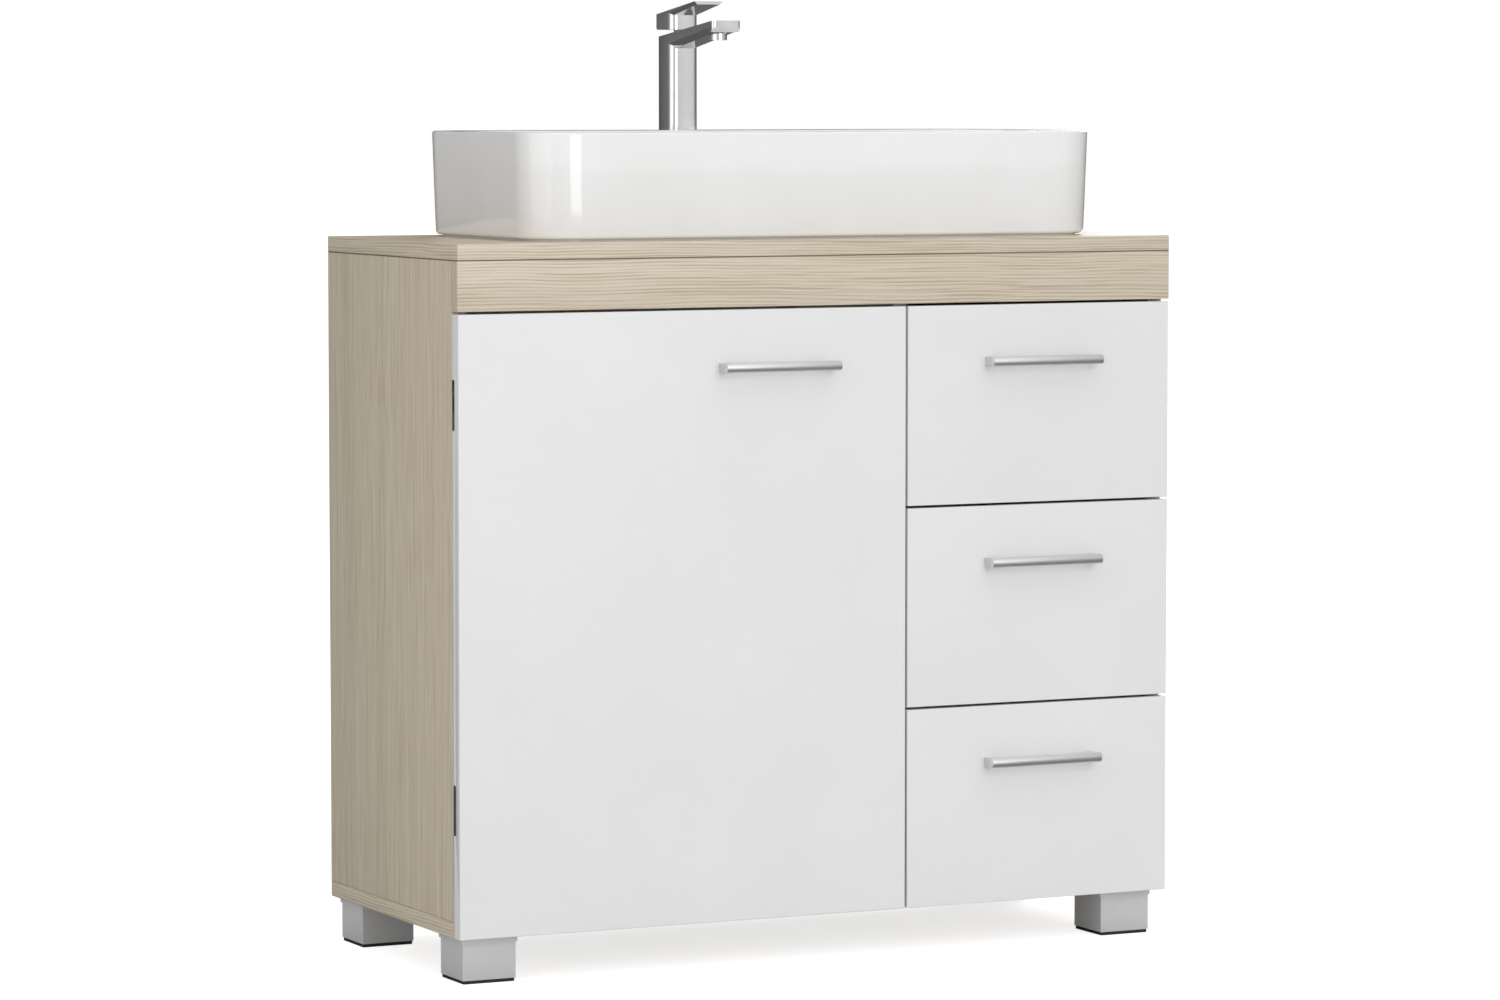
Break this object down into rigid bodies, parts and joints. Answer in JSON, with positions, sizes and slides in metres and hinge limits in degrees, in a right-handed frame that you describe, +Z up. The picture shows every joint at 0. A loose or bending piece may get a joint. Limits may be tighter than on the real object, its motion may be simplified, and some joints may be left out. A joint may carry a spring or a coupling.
{
  "type": "vessel sink on vanity",
  "caption": "Low two-tone vanity cabinet with a hinged door and stacked drawers, carrying a long rounded vessel basin and a single-lever faucet.",
  "frame": {"origin": "centre of the footprint on the floor, handles included", "axes": "+Z up, fronts face -Y, back to the wall at +Y, +X to the right seen from the front"},
  "size_m": [0.8, 0.361, 0.9714],
  "materials": {
    "ash_laminate": "satin",
    "inner_board": "matte",
    "white_front": "satin",
    "satin_aluminium": "satin",
    "satin_foot": "satin",
    "black_rubber": "matte",
    "zinc_steel": "satin",
    "grey_plastic": "matte",
    "white_ceramic": "gloss",
    "chrome": "polished",
    "brass": "machined",
    "white_plastic": "gloss"
  },
  "bodies": {
    "cabinet": {"countertop": "ash_laminate", "apron_board": "ash_laminate", "side_panel_left": "ash_laminate", "side_panel_right": "ash_laminate", "bottom_board": "ash_laminate", "partition_panel": "inner_board", "rear_rail": "inner_board", "shelf": "inner_board", "back_panel": "inner_board", "feet": "satin_foot", "foot_pads": "black_rubber", "drain_seals": "black_rubber", "shelf_pins": "zinc_steel", "panel_screws": "zinc_steel", "foot_bolts": "zinc_steel", "hinge_frame_leaves": "zinc_steel", "hinge_frame_screws": "zinc_steel", "hinge_pins": "zinc_steel", "cabinet_runners": "zinc_steel", "faucet_stud": "zinc_steel", "faucet_clamp_plate": "zinc_steel", "door_catch": "grey_plastic", "faucet_cartridge": "grey_plastic", "drain_nut": "grey_plastic", "basin": "white_ceramic", "drain_flange": "chrome", "faucet_body": "chrome", "faucet_aerator": "chrome", "drain_body": "brass", "faucet_clamp_nut": "brass", "trap_inlet_pipe": "white_plastic", "trap_body": "white_plastic", "trap_cup": "white_plastic", "trap_outlet_pipe": "white_plastic", "trap_nuts": "white_plastic"},
    "door": {"door_panel": "white_front", "door_handle": "satin_aluminium", "door_hinge_leaves": "zinc_steel", "door_hinge_screws": "zinc_steel", "door_strike": "zinc_steel"},
    "drain_plug": {"drain_plug": "chrome"},
    "valve_collar": {"cartridge_collar": "grey_plastic"},
    "lever": {"lever_stem": "zinc_steel", "lever_handle": "chrome", "lever_set_screw": "zinc_steel"},
    "drawer_1": {"drawer_1_front": "white_front", "drawer_1_box": "inner_board", "drawer_1_floor": "inner_board", "drawer_1_handle": "satin_aluminium", "drawer_1_rails": "zinc_steel"},
    "drawer_2": {"drawer_2_front": "white_front", "drawer_2_box": "inner_board", "drawer_2_floor": "inner_board", "drawer_2_handle": "satin_aluminium", "drawer_2_rails": "zinc_steel"},
    "drawer_3": {"drawer_3_front": "white_front", "drawer_3_box": "inner_board", "drawer_3_floor": "inner_board", "drawer_3_handle": "satin_aluminium", "drawer_3_rails": "zinc_steel"}
  },
  "joints": [
    {"name": "door_hinge", "type": "hinge", "parent": "cabinet", "child": "door", "pos_m": [-0.398, -0.1465, 0.35], "axis": [0, 0, -1], "range_deg": [0, 110]},
    {"name": "plug_lift", "type": "slide", "parent": "cabinet", "child": "drain_plug", "axis": [0, 0, 1], "range_m": [0, 0.008]},
    {"name": "lever_swivel", "type": "hinge", "parent": "cabinet", "child": "valve_collar", "pos_m": [-0.022, 0.1385, 0.928], "axis": [0, 0, 1], "range_deg": [-45, 45]},
    {"name": "lever_tilt", "type": "hinge", "parent": "valve_collar", "child": "lever", "pos_m": [-0.022, 0.1385, 0.928], "axis": [-1, 0, 0], "range_deg": [0, 20]},
    {"name": "drawer_1_slide", "type": "slide", "parent": "cabinet", "child": "drawer_1", "axis": [0, -1, 0], "range_m": [0, 0.2]},
    {"name": "drawer_2_slide", "type": "slide", "parent": "cabinet", "child": "drawer_2", "axis": [0, -1, 0], "range_m": [0, 0.2]},
    {"name": "drawer_3_slide", "type": "slide", "parent": "cabinet", "child": "drawer_3", "axis": [0, -1, 0], "range_m": [0, 0.2]}
  ]
}
